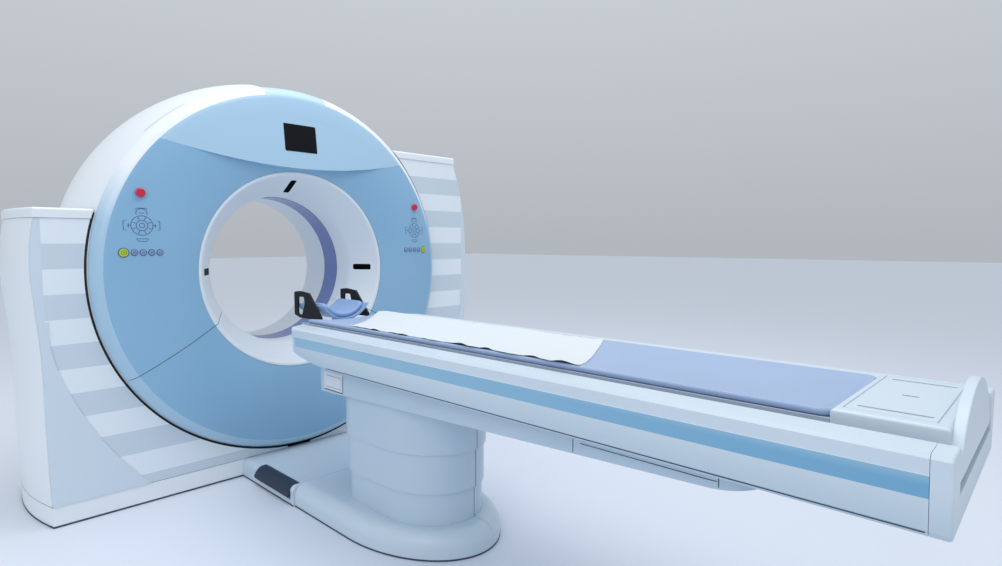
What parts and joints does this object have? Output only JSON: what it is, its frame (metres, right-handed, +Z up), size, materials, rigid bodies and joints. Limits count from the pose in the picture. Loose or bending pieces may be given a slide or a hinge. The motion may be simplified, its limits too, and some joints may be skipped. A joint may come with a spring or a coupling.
{
  "type": "ct scanner",
  "caption": "CT scanner: round tilting gantry drum with a patient bore, in a floor stand, with a sliding patient table on a lifting column.",
  "frame": {"origin": "on the floor, straight below the point where the bore axis crosses the tilt axis", "axes": "+X right as seen from the table, +Y from the table into the bore, +Z up"},
  "size_m": [2.2256, 3.274, 1.8334],
  "materials": {
    "blue_cover": "satin moulded cover",
    "pale_cover": "satin moulded cover",
    "ring_cover": "satin moulded cover",
    "window_strip": "matt",
    "table_cover": "satin moulded cover",
    "stripe_blue": "satin",
    "black_glass": "gloss",
    "black_plastic": "matt",
    "pedal_grey": "ribbed rubber",
    "stop_red": "gloss",
    "start_green": "satin",
    "key_grey": "satin",
    "mattress_blue": "coated fabric over foam",
    "cushion_blue": "coated fabric over foam",
    "paper_white": "crepe paper",
    "carbon_shell": "satin laminate",
    "frame_steel": "painted steel",
    "bearing_steel": "ground steel",
    "rotor_aluminium": "machined"
  },
  "bodies": {
    "stand": {"base_frame": "frame_steel", "pivot_bearings": "bearing_steel", "left_side_cover": "pale_cover", "right_side_cover": "pale_cover", "left_top_cap": "pale_cover", "right_top_cap": "pale_cover", "stand_front_cover": "pale_cover", "stand_rear_cover": "pale_cover", "stand_plinth": "pale_cover", "bridge_cover": "table_cover", "table_base_cover": "table_cover", "table_base_frame": "frame_steel", "column_lower_cover": "table_cover"},
    "drum": {"front_cover_upper": "blue_cover", "front_cover_lower": "blue_cover", "crown_cover": "blue_cover", "display": "black_glass", "laser_windows": "black_plastic", "front_funnel_upper": "ring_cover", "front_funnel_lower": "ring_cover", "rear_funnel": "ring_cover", "scan_window": "window_strip", "drum_shell_left": "pale_cover", "drum_shell_right": "pale_cover", "rear_cover": "pale_cover", "tilt_frame": "frame_steel", "bearing_outer_ring": "bearing_steel"},
    "rotor": {"rotor_drum": "rotor_aluminium", "tube_housing": "rotor_aluminium", "detector_arc": "rotor_aluminium", "generator": "rotor_aluminium"},
    "column_mid": {"column_mid_cover": "table_cover"},
    "table": {"column_top_cover": "table_cover", "table_frame": "frame_steel", "support_beam_cover": "table_cover", "table_body_cover": "table_cover", "table_side_stripes": "stripe_blue", "table_end_cap": "table_cover"},
    "tabletop": {"tabletop_shell": "carbon_shell", "mattress": "mattress_blue", "paper_sheet": "paper_white", "foot_box": "table_cover", "end_plate": "table_cover", "head_holder": "carbon_shell", "head_cushion": "cushion_blue", "head_straps": "black_plastic"},
    "pedal_left": {"pedal_left": "pedal_grey"},
    "pedal_right": {"pedal_right": "pedal_grey"},
    "estop_left": {"estop_left": "stop_red"},
    "start_button_left": {"start_button_left": "start_green"},
    "function_button_left_1": {"function_button_left_1": "key_grey"},
    "function_button_left_2": {"function_button_left_2": "key_grey"},
    "function_button_left_3": {"function_button_left_3": "key_grey"},
    "function_button_left_4": {"function_button_left_4": "key_grey"},
    "estop_right": {"estop_right": "stop_red"},
    "start_button_right": {"start_button_right": "start_green"},
    "function_button_right_1": {"function_button_right_1": "key_grey"},
    "function_button_right_2": {"function_button_right_2": "key_grey"},
    "function_button_right_3": {"function_button_right_3": "key_grey"},
    "function_button_right_4": {"function_button_right_4": "key_grey"}
  },
  "joints": [
    {"name": "gantry_tilt", "type": "hinge", "parent": "stand", "child": "drum", "pos_m": [0, 0, 0.942], "axis": [-1, 0, 0], "range_deg": [-30, 30]},
    {"name": "rotor_spin", "type": "hinge", "parent": "drum", "child": "rotor", "pos_m": [0, 0, 0.942], "axis": [0, 1, 0], "continuous": true},
    {"name": "table_lift", "type": "slide", "parent": "stand", "child": "table", "axis": [0, 0, 1], "range_m": [-0.22, 0.1]},
    {"name": "column_mid_lift", "type": "slide", "parent": "stand", "child": "column_mid", "axis": [0, 0, 1], "range_m": [-0.112, 0.052]},
    {"name": "tabletop_slide", "type": "slide", "parent": "table", "child": "tabletop", "axis": [0, 1, 0], "range_m": [0, 1.5]},
    {"name": "pedal_left_press", "type": "hinge", "parent": "stand", "child": "pedal_left", "pos_m": [-0.242, -0.5925, 0.066], "axis": [0, -1, 0], "range_deg": [0, 6], "stiffness_Nm_per_rad": 4, "springref_deg": -8.59},
    {"name": "pedal_right_press", "type": "hinge", "parent": "stand", "child": "pedal_right", "pos_m": [0.242, -0.5925, 0.066], "axis": [0, 1, 0], "range_deg": [0, 6], "stiffness_Nm_per_rad": 4, "springref_deg": -8.59},
    {"name": "estop_left_press", "type": "slide", "parent": "drum", "child": "estop_left", "axis": [0, 1, 0], "range_m": [0, 0.003], "stiffness_N_per_m": 1500, "springref_m": -0.001},
    {"name": "start_button_left_press", "type": "slide", "parent": "drum", "child": "start_button_left", "axis": [0, 1, 0], "range_m": [0, 0.003], "stiffness_N_per_m": 1500, "springref_m": -0.001},
    {"name": "function_button_left_1_press", "type": "slide", "parent": "drum", "child": "function_button_left_1", "axis": [0, 1, 0], "range_m": [0, 0.003], "stiffness_N_per_m": 1500, "springref_m": -0.001},
    {"name": "function_button_left_2_press", "type": "slide", "parent": "drum", "child": "function_button_left_2", "axis": [0, 1, 0], "range_m": [0, 0.003], "stiffness_N_per_m": 1500, "springref_m": -0.001},
    {"name": "function_button_left_3_press", "type": "slide", "parent": "drum", "child": "function_button_left_3", "axis": [0, 1, 0], "range_m": [0, 0.003], "stiffness_N_per_m": 1500, "springref_m": -0.001},
    {"name": "function_button_left_4_press", "type": "slide", "parent": "drum", "child": "function_button_left_4", "axis": [0, 1, 0], "range_m": [0, 0.003], "stiffness_N_per_m": 1500, "springref_m": -0.001},
    {"name": "estop_right_press", "type": "slide", "parent": "drum", "child": "estop_right", "axis": [0, 1, 0], "range_m": [0, 0.003], "stiffness_N_per_m": 1500, "springref_m": -0.001},
    {"name": "start_button_right_press", "type": "slide", "parent": "drum", "child": "start_button_right", "axis": [0, 1, 0], "range_m": [0, 0.003], "stiffness_N_per_m": 1500, "springref_m": -0.001},
    {"name": "function_button_right_1_press", "type": "slide", "parent": "drum", "child": "function_button_right_1", "axis": [0, 1, 0], "range_m": [0, 0.003], "stiffness_N_per_m": 1500, "springref_m": -0.001},
    {"name": "function_button_right_2_press", "type": "slide", "parent": "drum", "child": "function_button_right_2", "axis": [0, 1, 0], "range_m": [0, 0.003], "stiffness_N_per_m": 1500, "springref_m": -0.001},
    {"name": "function_button_right_3_press", "type": "slide", "parent": "drum", "child": "function_button_right_3", "axis": [0, 1, 0], "range_m": [0, 0.003], "stiffness_N_per_m": 1500, "springref_m": -0.001},
    {"name": "function_button_right_4_press", "type": "slide", "parent": "drum", "child": "function_button_right_4", "axis": [0, 1, 0], "range_m": [0, 0.003], "stiffness_N_per_m": 1500, "springref_m": -0.001}
  ],
  "couplings": [
    {"joint": "column_mid_lift", "follows": "table_lift", "ratio": 0.5}
  ]
}
